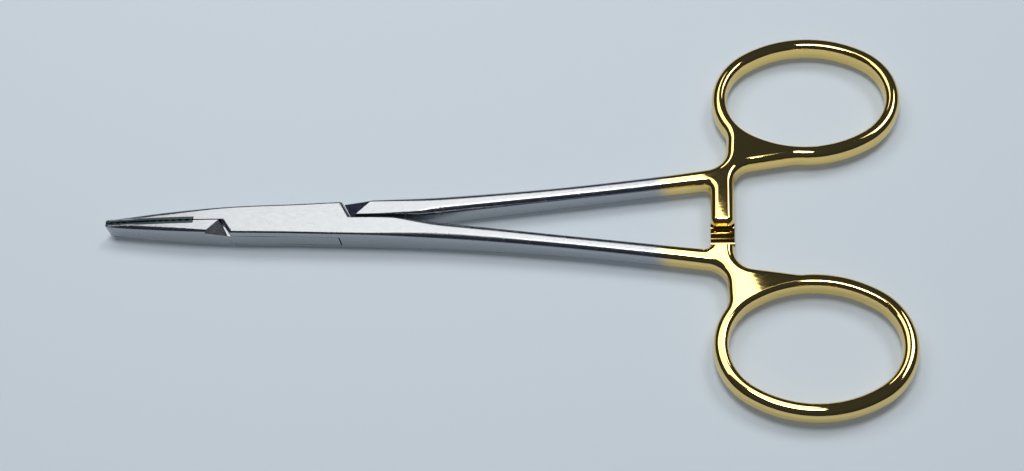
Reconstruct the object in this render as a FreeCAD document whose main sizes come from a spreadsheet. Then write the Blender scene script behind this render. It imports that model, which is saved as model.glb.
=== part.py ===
"""A ring-handled needle holder: two forged halves crossed in a box lock, its pin and two carbide inserts."""

import FreeCAD, Part
import math
import os

import Sketcher


# Driving dimensions in millimetres. Reaches are measured along the instrument from the pivot, and the
# setbacks of the ring and its neck from the front of the ratchet bar.
DIMENSIONS = {
    # Box lock
    "lock_thickness": 4.8,
    "lock_half_width": 2.75,
    "lock_front_half_width": 2.45,
    "lock_rear_half_width": 3.2,
    "lock_reach": 12.0,
    "tongue_thickness": 2.3,
    "tongue_play": 0.05,
    "slot_radius": 9.6,
    "tongue_end_gap": 0.2,
    "notch_outer_reach": 9.0,
    "notch_inner_reach": 10.85,
    "notch_gap": 0.1,
    "shoulder_inner_reach": 11.05,
    "shoulder_outer_reach": 14.0,
    "fork_gap": 0.6,
    "slot_side_gap": 0.1,
    "pin_radius": 1.25,
    "pin_play": 0.03,
    # Jaws and their inserts
    "tip_reach": 30.6,
    "tip_half_width": 0.8,
    "tip_round": 0.7,
    "tip_thickness": 3.1,
    "jaw_sweep": 264.0,
    "jaw_gap": 0.1,
    "insert_thickness": 0.5,
    "insert_heel_reach": 15.4,
    "insert_end_slant": 0.15,
    "hatch_pitch": 0.8,
    "hatch_depth": 0.15,
    # Shanks
    "handle_thickness": 3.5,
    "shank_taper_start": 14.0,
    "shank_taper_end": 64.0,
    "box_fork_reach": 18.0,
    "crossing_fork_reach": 22.0,
    "shank_sweep": 470.0,
    # Ratchet bars
    "ratchet_reach": 67.9,
    "ratchet_width": 3.7,
    "ratchet_overlap": 1.6,
    "ratchet_root": 5.9,
    "ratchet_relief": 5.5,
    "ratchet_play": 0.1,
    "ratchet_root_round": 1.0,
    "ratchet_end_round": 1.2,
    "tooth_pitch": 0.95,
    "tooth_height": 0.6,
    "tooth_count": 7,
    "tooth_land": 0.3,
    # Finger rings and the necks that carry them
    "ring_setback": 15.25,
    "ring_offset": 22.3,
    "ring_hole_length": 25.3,
    "ring_hole_width": 19.2,
    "ring_end_round": 8.3,
    "ring_band": 2.3,
    "neck_setback": 2.4,
    "neck_outer": 9.2,
    "neck_inner": 8.95,
    "web_rise": 1.85,
    "neck_round": 3.6,
    "web_round": 3.2,
    "ring_blend_round": 4.0,
    # Edge rounding
    "handle_edge_round": 0.85,
    "jaw_edge_round": 0.5,
}


class Size:
    """A length together with the sheet formula that gives it."""

    def __init__(self, value, formula):
        self.value = value
        self.formula = formula

    def joined(self, sign, other, value):
        return Size(value, f"({self.formula} {sign} {other.formula})")

    def __add__(self, other):
        other = as_size(other)
        return self.joined("+", other, self.value + other.value)

    def __sub__(self, other):
        other = as_size(other)
        return self.joined("-", other, self.value - other.value)

    def __mul__(self, other):
        other = as_size(other)
        return self.joined("*", other, self.value * other.value)

    def __truediv__(self, other):
        other = as_size(other)
        return self.joined("/", other, self.value / other.value)

    def __neg__(self):
        return as_size(0) - self


def as_size(number):
    return number if isinstance(number, Size) else Size(float(number), f"({float(number)})")


def leg(hypotenuse, other_leg):
    """The remaining leg of a right triangle."""
    value = math.sqrt(hypotenuse.value**2 - other_leg.value**2)
    return Size(value, f"sqrt(pow({hypotenuse.formula}; 2) - pow({other_leg.formula}; 2))")


def tangent_radius(run, drop):
    """Radius of the arc that leaves a face smoothly and falls by the drop over the run."""
    return (run * run + drop * drop) / (drop * 2)


doc = FreeCAD.newDocument("needle_holder")
sheet = doc.addObject("Spreadsheet::Sheet", "Sizes")
for row, (alias, number) in enumerate(DIMENSIONS.items(), start=1):
    sheet.set(f"A{row}", alias)
    sheet.set(f"B{row}", str(number))
    sheet.setAlias(f"B{row}", alias)
doc.recompute()


def size(alias):
    """A driving dimension, by the name that it has on the sheet."""
    return Size(float(sheet.get(alias)), f"Sizes.{alias}")


NOTHING = as_size(0)
MIDDLE = size("lock_thickness") / 2
TONGUE_RADIUS = size("slot_radius") - size("tongue_end_gap")
HALF_JAW_GAP = size("jaw_gap") / 2
OVERSHOOT = size("lock_thickness")
RING_REACH = size("ratchet_reach") + size("ring_setback")
NECK_REACH = size("ratchet_reach") + size("neck_setback")
# How far the lock's cuts run past its sides, as a share of its half-width
SIDE_OVERRUN = as_size(1.5)
# How far the ramps of the tongue's recess run on past the lock's face, as a share of their own rise
RAMP_OVERRUN = as_size(1.25)
# The share of the lock's half-width past which an edge belongs to its outer side
OUTER_SIDE_SHARE = 0.8


def bind(feature, **sizes):
    for name, length in sizes.items():
        setattr(feature, name, length.value)
        feature.setExpression(name, length.formula)


def base_plane(body, role):
    return next(plane for plane in body.Origin.OriginFeatures if plane.Role == role)


def new_sketch(body, name, role="XY_Plane", lift=None):
    """An empty sketch on one of the body's own planes, lifted off it where a height is given."""
    sketch = body.newObject("Sketcher::SketchObject", name)
    sketch.AttachmentSupport = [(base_plane(body, role), "")]
    sketch.MapMode = "FlatFace"
    if lift is not None:
        sketch.AttachmentOffset.Base.z = lift.value
        sketch.setExpression("AttachmentOffset.Base.z", lift.formula)
    return sketch


def pin_down(sketch, geometry, point, across, along):
    """Hold one point of a sketch at two bound distances from its origin."""
    for kind, distance in (("DistanceX", across), ("DistanceY", along)):
        index = sketch.addConstraint(Sketcher.Constraint(kind, -1, 1, geometry, point, distance.value))
        sketch.setExpression(f"Constraints[{index}]", distance.formula)


def corner(across, along, radius=None, turn=1):
    """A corner of an outline. With a radius, an arc leads on to the next corner, turning left for +1."""
    return across, along, radius, turn


def arc_between(start, end, radius, turn):
    """The short arc from one point to another, which always runs anticlockwise itself."""
    chord = end - start
    rise = math.sqrt(radius**2 - (chord.Length / 2) ** 2)
    left = FreeCAD.Vector(-chord.y, chord.x, 0).normalize()
    centre = (start + end) / 2 + left * rise * turn
    low, high = (start, end) if turn > 0 else (end, start)
    angles = [math.atan2(point.y - centre.y, point.x - centre.x) for point in (low, high)]
    return Part.ArcOfCircle(Part.Circle(centre, FreeCAD.Vector(0, 0, 1), radius), *angles)


def add_outline(sketch, corners):
    """Add a closed outline of lines and arcs whose corners and radii are bound to the sheet."""
    points = [FreeCAD.Vector(across.value, along.value, 0) for across, along, *_ in corners]
    ends = points[1:] + points[:1]
    pieces = []
    for (_, _, radius, turn), start, end in zip(corners, points, ends):
        curve = Part.LineSegment(start, end) if radius is None else arc_between(start, end, radius.value, turn)
        begins, finishes = (1, 2) if turn > 0 else (2, 1)
        pieces.append((sketch.addGeometry(curve, False), begins, finishes))
    for (across, along, radius, _), piece, following in zip(corners, pieces, pieces[1:] + pieces[:1]):
        geometry, begins, finishes = piece
        sketch.addConstraint(Sketcher.Constraint("Coincident", geometry, finishes, *following[:2]))
        pin_down(sketch, geometry, begins, across, along)
        if radius is not None:
            index = sketch.addConstraint(Sketcher.Constraint("Radius", geometry, radius.value))
            sketch.setExpression(f"Constraints[{index}]", radius.formula)
    return sketch


def add_circle(sketch, across, along, radius):
    centre = FreeCAD.Vector(across.value, along.value, 0)
    circle = sketch.addGeometry(Part.Circle(centre, FreeCAD.Vector(0, 0, 1), radius.value), False)
    pin_down(sketch, circle, 3, across, along)
    index = sketch.addConstraint(Sketcher.Constraint("Radius", circle, radius.value))
    sketch.setExpression(f"Constraints[{index}]", radius.formula)
    return sketch


def pad(body, sketch, length):
    feature = body.newObject("PartDesign::Pad", sketch.Name + "_pad")
    feature.Profile = sketch
    bind(feature, Length=length)
    doc.recompute()
    return feature


def cut(body, sketch, depth=None):
    """Pocket a sketch to both of its sides, right through unless a whole depth is given."""
    before = body.Shape.Volume
    feature = body.newObject("PartDesign::Pocket", sketch.Name + "_cut")
    feature.Profile = sketch
    feature.Refine = False
    if depth is None:
        feature.SideType = "Two sides"
        feature.Type = "ThroughAll"
        feature.Type2 = "ThroughAll"
    else:
        feature.SideType = "Symmetric"
        feature.Type = "Length"
        bind(feature, Length=depth)
    doc.recompute()
    if body.Shape.Volume >= before:
        raise ValueError(f"{feature.Name} removes nothing")
    return feature


def round_edges(body, name, radius, wanted):
    """Round every edge of the body for which wanted(edge) holds."""
    tip = body.Tip
    edges = [f"Edge{number}" for number, edge in enumerate(tip.Shape.Edges, start=1) if wanted(edge)]
    if not edges:
        raise ValueError(f"{name} finds no edge")
    feature = body.newObject("PartDesign::Fillet", name)
    feature.Base = (tip, edges)
    bind(feature, Radius=radius)
    doc.recompute()
    return feature


def upright_at(corners):
    """A test for the upright edges that stand at the given plan corners."""
    spots = [FreeCAD.Vector(across.value, along.value, 0) for across, along, *_ in corners]

    def wanted(edge):
        box = edge.BoundBox
        place = FreeCAD.Vector(box.XMin, box.YMin, 0)
        upright = max(box.XLength, box.YLength) < 1e-4
        return upright and any(place.distanceToPoint(spot) < 1e-3 for spot in spots)

    return wanted


def side_half_width(reach, end_half_width):
    """Half-width of the lock between the pivot and the given end's half-width."""
    slope = (end_half_width - size("lock_half_width")) / size("lock_reach")
    return size("lock_half_width") + slope * reach


def ring_arcs():
    """The finger hole's oval: how far out its end and its side arcs are centred, and the side arcs' radius."""
    half_length, half_width = size("ring_hole_length") / 2, size("ring_hole_width") / 2
    end = size("ring_end_round")
    squares = half_length * half_length + half_width * half_width
    side = (squares - half_length * end * 2) / ((half_width - end) * 2)
    return half_length - end, side - half_width, side


def ring_oval(band, side):
    """The ring's outline at a distance outside its hole: four arcs that run smoothly into each other."""
    across, along, radius = ring_arcs()
    end = size("ring_end_round")
    joint_across = across * (radius + band) / (radius - end)
    joint_along = along * (end + band) / (radius - end)
    centre_across, centre_along = RING_REACH, size("ring_offset") * side
    return [
        corner(centre_across + joint_across, centre_along + joint_along, radius + band, 1),
        corner(centre_across - joint_across, centre_along + joint_along, end + band, 1),
        corner(centre_across - joint_across, centre_along - joint_along, radius + band, 1),
        corner(centre_across + joint_across, centre_along - joint_along, end + band, 1),
    ]


def ring_point(angle):
    """A point in the middle of the ring's band, by its angle from the instrument's length."""
    half_length = (size("ring_hole_length") + size("ring_band")) / 2
    half_width = (size("ring_hole_width") + size("ring_band")) / 2
    across = RING_REACH - half_length * math.cos(math.radians(angle))
    along = size("ring_offset") - half_width * math.sin(math.radians(angle))
    return across, along


def handle_corners(fork_reach, fork_inner):
    """Inner edge, ratchet bar, web, neck and outer edge of a handle that lies on the positive side."""
    bar_end = size("ratchet_reach") + size("ratchet_width")
    return {
        "fork": corner(fork_reach, fork_inner),
        "bar_root": corner(size("ratchet_reach"), size("ratchet_root")),
        "bar_end_front": corner(size("ratchet_reach"), -size("ratchet_overlap")),
        "bar_end_rear": corner(bar_end, -size("ratchet_overlap")),
        "web": corner(bar_end, size("neck_inner")),
        "web_end": corner(RING_REACH, size("neck_inner") + size("web_rise")),
        "ring_low": corner(*ring_point(90)),
        "ring_middle": corner(*ring_point(55)),
        "ring_high": corner(*ring_point(25)),
        "neck": corner(NECK_REACH, size("neck_outer"), size("shank_sweep"), -1),
        "shoulder": corner(size("lock_reach"), size("lock_rear_half_width")),
        "lock_side": corner(NOTHING, size("lock_half_width")),
    }


def jaw_corners():
    """Seat of the insert, tip and outer edge of a jaw that lies on the negative side."""
    face = -HALF_JAW_GAP
    seat = face - size("insert_thickness")
    end = size("insert_end_slant") - size("tip_reach")
    return [
        corner(-size("insert_heel_reach"), face),
        corner(-size("insert_heel_reach"), seat),
        corner(end, seat),
        corner(end + size("tip_round"), -size("tip_half_width"), size("jaw_sweep"), 1),
        corner(NOTHING, -size("lock_half_width")),
    ]


def box_corners():
    """Where the slotted half ends on each side of its box: the rear notch, then the jaw's."""
    outer, inner = size("notch_outer_reach"), size("notch_inner_reach")
    rear_width = side_half_width(outer, size("lock_rear_half_width"))
    front_width = side_half_width(outer, size("lock_front_half_width"))
    rear = [corner(outer, -rear_width), corner(inner, NOTHING)]
    front = [corner(-outer, front_width), corner(-inner, -HALF_JAW_GAP)]
    return rear, front


def tongue_corners():
    """Where the tongue ends inside the slot, at the rear and then at the jaw."""
    reach = leg(TONGUE_RADIUS, size("lock_rear_half_width"))
    rear_width = side_half_width(reach, size("lock_rear_half_width"))
    front_width = side_half_width(reach, size("lock_front_half_width"))
    fork_edge = leg(TONGUE_RADIUS, size("fork_gap"))
    rear = [
        corner(leg(TONGUE_RADIUS, rear_width), -rear_width, TONGUE_RADIUS, 1),
        corner(fork_edge, size("fork_gap")),
    ]
    jaw_edge = leg(TONGUE_RADIUS, HALF_JAW_GAP)
    front = [
        corner(-leg(TONGUE_RADIUS, front_width), front_width, TONGUE_RADIUS, 1),
        corner(-jaw_edge, -HALF_JAW_GAP),
    ]
    return rear, front


def mirrored(corners, side):
    """The same outline on the other side of the instrument's length where side is -1."""
    return [corner(across, along * side, radius, turn * side) for across, along, radius, turn in corners]


def trim_thickness(body, name):
    """Thin the part from the lock's thickness towards the tip and towards the handles."""
    sketch = new_sketch(body, name, "XZ_Plane")
    jaw_start, shank_start = -size("lock_reach"), size("shank_taper_start")
    beyond_tip = -size("tip_reach") - OVERSHOOT
    beyond_ring = RING_REACH + size("ring_hole_length")
    shank_end = size("shank_taper_end")
    run, drop = shank_end - shank_start, MIDDLE - size("handle_thickness") / 2
    handle_sweep = tangent_radius(run / 2, drop / 2)
    jaw_sweep = tangent_radius(size("tip_reach") + jaw_start, MIDDLE - size("tip_thickness") / 2)
    for sign in (1, -1):
        face = MIDDLE + MIDDLE * sign
        outside = MIDDLE + (MIDDLE + OVERSHOOT) * sign
        tip = MIDDLE + size("tip_thickness") / 2 * sign
        handle = MIDDLE + size("handle_thickness") / 2 * sign
        jaw = [
            corner(jaw_start, face, jaw_sweep, sign),
            corner(-size("tip_reach"), tip),
            corner(beyond_tip, tip),
            corner(beyond_tip, outside),
            corner(jaw_start, outside),
        ]
        add_outline(sketch, jaw)
        shank = [
            corner(shank_start, face, handle_sweep, -sign),
            corner((shank_start + shank_end) / 2, (face + handle) / 2, handle_sweep, sign),
            corner(shank_end, handle),
            corner(beyond_ring, handle),
            corner(beyond_ring, outside),
            corner(shank_start, outside),
        ]
        add_outline(sketch, shank)
    return cut(body, sketch)


def ring_joints(side):
    """A test for the upright edges where the neck and the web run into the ring's outside."""
    band = size("ring_band").value
    across, along, side_radius = (length.value for length in ring_arcs())
    end_radius = size("ring_end_round").value
    arcs = [(-across, 0, end_radius + band)]
    arcs += [(0, along * way, side_radius + band) for way in (1, -1)]
    own = upright_at(ring_oval(size("ring_band"), side))

    def wanted(edge):
        box = edge.BoundBox
        x, y = box.XMin - RING_REACH.value, box.YMin - size("ring_offset").value * side
        upright = max(box.XLength, box.YLength) < 1e-4
        on_ring = any(abs(math.hypot(x - middle, y - lift) - radius) < 1e-3 for middle, lift, radius in arcs)
        return upright and x < 0 and on_ring and not own(edge)

    return wanted


def half(label, side, fork, lock_corners):
    """A forged half: shank, ring and ratchet bar on the given side, jaw on the other."""
    body = doc.addObject("PartDesign::Body", label)
    rear, front = lock_corners
    handle = handle_corners(*fork)
    corners = mirrored(rear + list(handle.values()) + front + jaw_corners(), side)
    pad(body, add_outline(new_sketch(body, label + "_plan"), corners), size("lock_thickness"))

    outside = add_outline(new_sketch(body, label + "_ring"), ring_oval(size("ring_band"), side))
    pad(body, outside, size("lock_thickness"))
    cut(body, add_outline(new_sketch(body, label + "_hole"), ring_oval(NOTHING, side)))

    for feature, radius, names in (
        ("_neck_round", "neck_round", ["neck"]),
        ("_web_round", "web_round", ["web"]),
        ("_bar_root", "ratchet_root_round", ["bar_root"]),
        ("_bar_end", "ratchet_end_round", ["bar_end_front", "bar_end_rear"]),
    ):
        spots = mirrored([handle[name] for name in names], side)
        round_edges(body, label + feature, size(radius), upright_at(spots))
    round_edges(body, label + "_ring_blend", size("ring_blend_round"), ring_joints(side))
    trim_thickness(body, label + "_profile")
    round_rims(body, side)
    cut_ratchet(body, side)
    return body


def rim_edges(side, thinnest, wanted):
    """A test for the edges along the top and bottom rims, leaving out creases that run across."""

    def test(edge):
        box = edge.BoundBox
        height = min(abs(box.ZMin - MIDDLE.value), abs(box.ZMax - MIDDLE.value))
        on_rim = box.ZLength < thinnest.value / 2 and height > thinnest.value / 2 - 1e-3
        across = box.XLength < 1e-3 and box.XMax < size("ratchet_reach").value - 1e-3
        return on_rim and not across and wanted(box.Center.x, box.Center.y * side)

    return test


def round_rims(body, side):
    """Soften the handle and the outer side of the lock, then the other side of the lock and the jaw."""
    shoulder_side = size("lock_half_width").value * OUTER_SIDE_SHARE
    jaw_side = -size("tip_half_width").value
    tip_end = size("tip_round").value - size("tip_reach").value

    def on_handle(x, y):
        return x > size("notch_inner_reach").value or y > shoulder_side

    def on_jaw(x, y):
        return tip_end < x < size("notch_outer_reach").value and y < jaw_side

    handle = rim_edges(side, size("handle_thickness"), on_handle)
    round_edges(body, body.Name + "_handle_rim", size("handle_edge_round"), handle)
    jaw = rim_edges(side, size("tip_thickness"), on_jaw)
    round_edges(body, body.Name + "_jaw_rim", size("jaw_edge_round"), jaw)


def cut_ratchet(body, side):
    """Halve the ratchet bar's height and cut its teeth, whose steep faces hold against opening."""
    facing = MIDDLE + size("ratchet_play") / 2 * side
    root = facing + size("tooth_height") * side
    outside = MIDDLE - (MIDDLE + OVERSHOOT) * side
    end = -size("ratchet_overlap")
    profile = [(end - OVERSHOOT, facing)]
    for number in range(int(size("tooth_count").value)):
        step = end + size("tooth_land") + size("tooth_pitch") * number
        profile += [(step, facing), (step, root)]
    last = end + size("tooth_land") + size("tooth_pitch") * size("tooth_count")
    profile += [(last, facing), (size("ratchet_relief"), facing)]
    profile += [(size("ratchet_relief"), outside), (end - OVERSHOOT, outside)]
    half_width = size("ratchet_width") / 2
    sketch = new_sketch(body, body.Name + "_teeth", "YZ_Plane", size("ratchet_reach") + half_width)
    add_outline(sketch, [corner(along * side, height) for along, height in profile])
    return cut(body, sketch, size("ratchet_width") + size("ratchet_root_round"))


def cut_slot(body):
    """Hollow the box for the tongue: a disc about the pivot and a way out for each arm of the other half."""
    height = size("tongue_thickness") + size("tongue_play") * 2
    disc = new_sketch(body, "slot_disc", lift=MIDDLE)
    cut(body, add_circle(disc, NOTHING, NOTHING, size("slot_radius")), height)
    inner, outer = size("slot_radius") / 2, size("lock_reach")
    aside = size("lock_rear_half_width") * SIDE_OVERRUN
    rear, front = size("fork_gap") - size("slot_side_gap"), HALF_JAW_GAP
    ways = new_sketch(body, "slot_ways", lift=MIDDLE)
    places = (inner, rear), (outer, rear), (outer, aside), (inner, aside)
    add_outline(ways, [corner(*place) for place in places])
    places = (-inner, front), (-outer, front), (-outer, -aside), (-inner, -aside)
    add_outline(ways, [corner(*place) for place in places])
    return cut(body, ways, height)


def cut_recess(body, sign):
    """Thin one face of the crossing half to its tongue, with a ramp that runs up past each shoulder."""
    aside = size("lock_rear_half_width") * SIDE_OVERRUN
    notch = size("notch_inner_reach") + size("notch_gap")
    notch_far = notch - (size("notch_inner_reach") - size("notch_outer_reach")) * SIDE_OVERRUN
    shoulder = size("shoulder_inner_reach")
    shoulder_far = shoulder + (size("shoulder_outer_reach") - shoulder) * SIDE_OVERRUN
    floor, face = size("tongue_thickness") / 2, MIDDLE
    levels = (
        (MIDDLE + floor * sign, notch, notch_far),
        (
            MIDDLE + (floor + (face - floor) * RAMP_OVERRUN) * sign,
            notch + (shoulder - notch) * RAMP_OVERRUN,
            notch_far + (shoulder_far - notch_far) * RAMP_OVERRUN,
        ),
    )
    sketches = []
    for level, (height, near, far) in enumerate(levels):
        sketch = new_sketch(body, f"recess_{'top' if sign > 0 else 'bottom'}_{level}", lift=height)
        rear = [(near, -aside), (near, NOTHING), (far, aside)]
        front = [(-across, -along) for across, along in rear]
        sketches.append(add_outline(sketch, [corner(*place) for place in rear + front]))
    before = body.Shape.Volume
    feature = body.newObject("PartDesign::SubtractiveLoft", sketches[0].Name + "_loft")
    feature.Profile = sketches[0]
    feature.Sections = sketches[1:]
    feature.Ruled = True
    feature.Refine = False
    doc.recompute()
    if body.Shape.Volume >= before:
        raise ValueError(f"{feature.Name} removes nothing")
    return feature


def bore(body, radius):
    """The hole for the lock's pin."""
    sketch = new_sketch(body, body.Name + "_bore")
    return cut(body, add_circle(sketch, NOTHING, NOTHING, radius))


def insert(label, side):
    """A carbide pad brazed into a jaw's seat, its gripping face cross-hatched."""
    body = doc.addObject("PartDesign::Body", label)
    face = -HALF_JAW_GAP
    seat = face - size("insert_thickness")
    heel, tip = -size("insert_heel_reach"), -size("tip_reach")
    plan = [(heel, face), (heel, seat), (tip + size("insert_end_slant"), seat), (tip, face)]
    corners = mirrored([corner(*place) for place in plan], side)
    pad(body, add_outline(new_sketch(body, label + "_plan"), corners), size("lock_thickness"))
    trim_thickness(body, label + "_profile")
    for lean in (45, -45):
        hatch(body, side, lean)
    return body


def hatch(body, side, lean):
    """One family of slanting V-grooves over the gripping face."""
    name = f"{body.Name}_grooves_{'up' if lean > 0 else 'down'}"
    spacing = size("hatch_pitch") * math.sqrt(2)
    start = -(size("tip_reach") + spacing / 2)
    sketch = new_sketch(body, name, "YZ_Plane")
    place = FreeCAD.Vector(0, MIDDLE.value, start.value)
    sketch.AttachmentOffset = FreeCAD.Placement(place, FreeCAD.Rotation(FreeCAD.Vector(1, 0, 0), lean))
    sketch.setExpression("AttachmentOffset.Base.y", MIDDLE.formula)
    sketch.setExpression("AttachmentOffset.Base.z", start.formula)
    mouth = size("hatch_depth") - HALF_JAW_GAP
    bottom = -HALF_JAW_GAP - size("hatch_depth")
    profile = [(mouth, size("hatch_pitch")), (bottom, NOTHING), (mouth, -size("hatch_pitch"))]
    add_outline(sketch, [corner(along * side, height) for along, height in profile])
    groove = cut(body, sketch)
    run = size("tip_reach") - size("insert_heel_reach") + size("lock_thickness") / 2
    pattern = body.newObject("PartDesign::LinearPattern", name + "_pattern")
    pattern.Originals = [groove]
    pattern.Direction = (base_plane(body, "X_Axis"), [""])
    pattern.Mode = "Spacing"
    pattern.Occurrences = math.ceil(run.value / spacing.value)
    bind(pattern, Offset=spacing)
    pattern.Refine = False
    body.Tip = pattern
    doc.recompute()


def check(piece):
    """Stop where a finished piece isn't one sound solid."""
    if piece.Shape.isNull() or not piece.Shape.isValid() or len(piece.Shape.Solids) != 1:
        raise ValueError(f"{piece.Label} is not one sound solid")


box_half = half("box_half", -1, (size("box_fork_reach"), NOTHING), box_corners())
cut_slot(box_half)
bore(box_half, size("pin_radius"))

through_half = half("through_half", 1, (size("crossing_fork_reach"), size("fork_gap")), tongue_corners())
for face_sign in (1, -1):
    cut_recess(through_half, face_sign)
bore(through_half, size("pin_radius") + size("pin_play"))

lock_pin = doc.addObject("Part::Cylinder", "lock_pin")
bind(lock_pin, Radius=size("pin_radius"), Height=size("lock_thickness"))

inserts = [insert("box_jaw_insert", -1), insert("through_jaw_insert", 1)]

doc.recompute()
for item in doc.Objects:
    if {"Invalid", "Error"} & set(item.State):
        raise ValueError(f"{item.Label} failed: {item.State}")

os.makedirs("parts", exist_ok=True)
for piece in [box_half, through_half, lock_pin] + inserts:
    check(piece)
    piece.Shape.exportStep(f"parts/{piece.Label}.step")
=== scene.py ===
"""Looks of a ring-handled needle holder: satin forged halves, gold plated handles and carbide inserts.

Lengths are in millimetres until a finished mesh is scaled to metres.
"""

import logging
import math
from dataclasses import dataclass
from enum import Enum

import bmesh
import bpy
from mathutils import Matrix, Vector
from mathutils.geometry import intersect_line_line_2d


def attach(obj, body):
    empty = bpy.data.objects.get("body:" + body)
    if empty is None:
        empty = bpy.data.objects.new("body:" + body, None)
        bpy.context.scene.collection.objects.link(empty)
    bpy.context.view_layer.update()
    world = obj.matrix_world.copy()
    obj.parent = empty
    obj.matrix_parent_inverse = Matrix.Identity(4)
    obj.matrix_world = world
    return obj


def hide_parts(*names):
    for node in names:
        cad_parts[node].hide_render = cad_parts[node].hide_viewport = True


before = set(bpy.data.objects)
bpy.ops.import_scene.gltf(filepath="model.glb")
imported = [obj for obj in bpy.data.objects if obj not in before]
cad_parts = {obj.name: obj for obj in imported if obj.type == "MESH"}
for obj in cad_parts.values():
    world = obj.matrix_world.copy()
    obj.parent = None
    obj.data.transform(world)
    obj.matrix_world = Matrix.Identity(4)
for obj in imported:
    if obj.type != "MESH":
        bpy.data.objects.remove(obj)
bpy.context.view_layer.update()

LOG = logging.getLogger("needle_holder")
METRES = 0.001
IMAGE_WIDTH = 1024
# The longest distance between two points of an outline, and the widest turn between two on an arc
STEP = 0.35
SMOOTH_TURN = math.radians(9)
# The turn between two faces past which their edge stays sharp
SHARP_TURN = math.radians(13)
# The distance within which two vertices are one
MERGE = 1e-4


class Side(Enum):
    """The side of the instrument's length that a half's ring lies on."""

    BOX = -1
    THROUGH = 1


def line(start: Vector, end: Vector, step: float = STEP) -> list[Vector]:
    """Evenly spaced points along a straight run, both ends included.

    Args:
        start: First point.
        end: Last point.
        step: Longest distance between two points.

    Returns:
        The points in order.
    """
    count = max(1, math.ceil((end - start).length / step))
    return [start.lerp(end, number / count) for number in range(count + 1)]


def arc(start: Vector, end: Vector, radius: float, turn: int, step: float = STEP) -> list[Vector]:
    """The short arc between two points, turning left for +1 and right for -1.

    Args:
        start: First point.
        end: Last point.
        radius: Radius of the arc.
        turn: +1 for an arc that turns left on its way, -1 for right.
        step: Longest distance between two points.

    Returns:
        The points in order, both ends included.
    """
    chord = end - start
    rise = math.sqrt(radius**2 - (chord.length / 2) ** 2)
    centre = (start + end) / 2 + Vector((-chord.y, chord.x)).normalized() * rise * turn
    return around(centre, start, end, turn, step)


def around(centre: Vector, start: Vector, end: Vector, turn: int, step: float = STEP) -> list[Vector]:
    """Points from start to end about a centre, the way that turn says.

    Args:
        centre: Centre of the arc.
        start: First point.
        end: Last point.
        turn: +1 for anticlockwise, -1 for clockwise.
        step: Longest distance between two points.

    Returns:
        The points in order, both ends included.
    """
    first, last = start - centre, end - centre
    sweep = math.atan2(last.y, last.x) - math.atan2(first.y, first.x)
    sweep = sweep % math.tau if turn > 0 else -((-sweep) % math.tau)
    count = max(2, math.ceil(abs(sweep) * first.length / step), math.ceil(abs(sweep) / SMOOTH_TURN))
    points = []
    for number in range(count + 1):
        share = number / count
        spoke = first.copy()
        spoke.rotate(Matrix.Rotation(sweep * share, 2))
        points.append(centre + spoke * (1 + (last.length / first.length - 1) * share))
    return points


def shifted(points: list[Vector], distance: float) -> list[Vector]:
    """Move a line of points sideways.

    Args:
        points: The line.
        distance: How far it moves to its left, negative for its right.

    Returns:
        The moved line, with as many points.
    """
    moved = []
    for number, point in enumerate(points):
        along = points[min(number + 1, len(points) - 1)] - points[max(number - 1, 0)]
        moved.append(point + Vector((-along.y, along.x)).normalized() * distance)
    return moved


def fillet(before: list[Vector], after: list[Vector], radius: float, turn: int) -> list[Vector]:
    """Join two lines of points that cross by an arc that touches both.

    Args:
        before: The line that comes first.
        after: The line that it goes over to.
        radius: Radius of the arc.
        turn: +1 where the corner turns left, -1 where it turns right.

    Returns:
        Both lines as one, trimmed to the arc.

    Raises:
        ValueError: If no arc of that radius touches both lines.
    """
    first, second = shifted(before, radius * turn), shifted(after, radius * turn)
    for start, end in zip(first, first[1:]):
        for other_start, other_end in zip(second, second[1:]):
            centre = intersect_line_line_2d(start, end, other_start, other_end)
            if centre is not None:
                break
        else:
            continue
        break
    else:
        raise ValueError(f"no arc of {radius} mm joins the lines")
    leave = min(range(len(before)), key=lambda number: (before[number] - centre).length)
    enter = min(range(len(after)), key=lambda number: (after[number] - centre).length)
    bend = around(centre, before[leave], after[enter], turn)
    return before[:leave] + bend + after[enter + 1 :]


def inward(vert: bmesh.types.BMVert) -> Vector:
    """Find the way into a flat plan from a vertex of its edge.

    Args:
        vert: A vertex where two edges of the outline meet.

    Returns:
        The direction, long enough to keep an inset along it parallel to the outline.
    """
    normals = []
    for edge in vert.link_edges:
        if edge.is_boundary:
            loop = edge.link_loops[0]
            along = loop.link_loop_next.vert.co - loop.vert.co
            normals.append(Vector((-along.y, along.x, 0.0)).normalized())
    first, second = normals
    return (first + second) / (1 + first.dot(second))


@dataclass(frozen=True)
class Rim:
    """How a half's edge is rounded: how far in, how deep, and how full the curve is."""

    width: float
    height: float
    power: float

    def drop(self, share: float) -> float:
        """Depth below the face at a share of the rim's width, none past its inner end."""
        rest = max(0.0, 1 - share)
        return self.height * (1 - (1 - rest**self.power) ** (1 / self.power))

    def mixed(self, other: "Rim", share: float) -> "Rim":
        """This rim gone over to another by a share."""
        pairs = zip((self.width, self.height, self.power), (other.width, other.height, other.power))
        return Rim(*(mine + (theirs - mine) * share for mine, theirs in pairs))


def smooth_share(value: float, low: float, high: float) -> float:
    """A share from 0 to 1 that leaves both ends smoothly."""
    share = min(1.0, max(0.0, (value - low) / (high - low)))
    return share * share * (3 - 2 * share)


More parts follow.
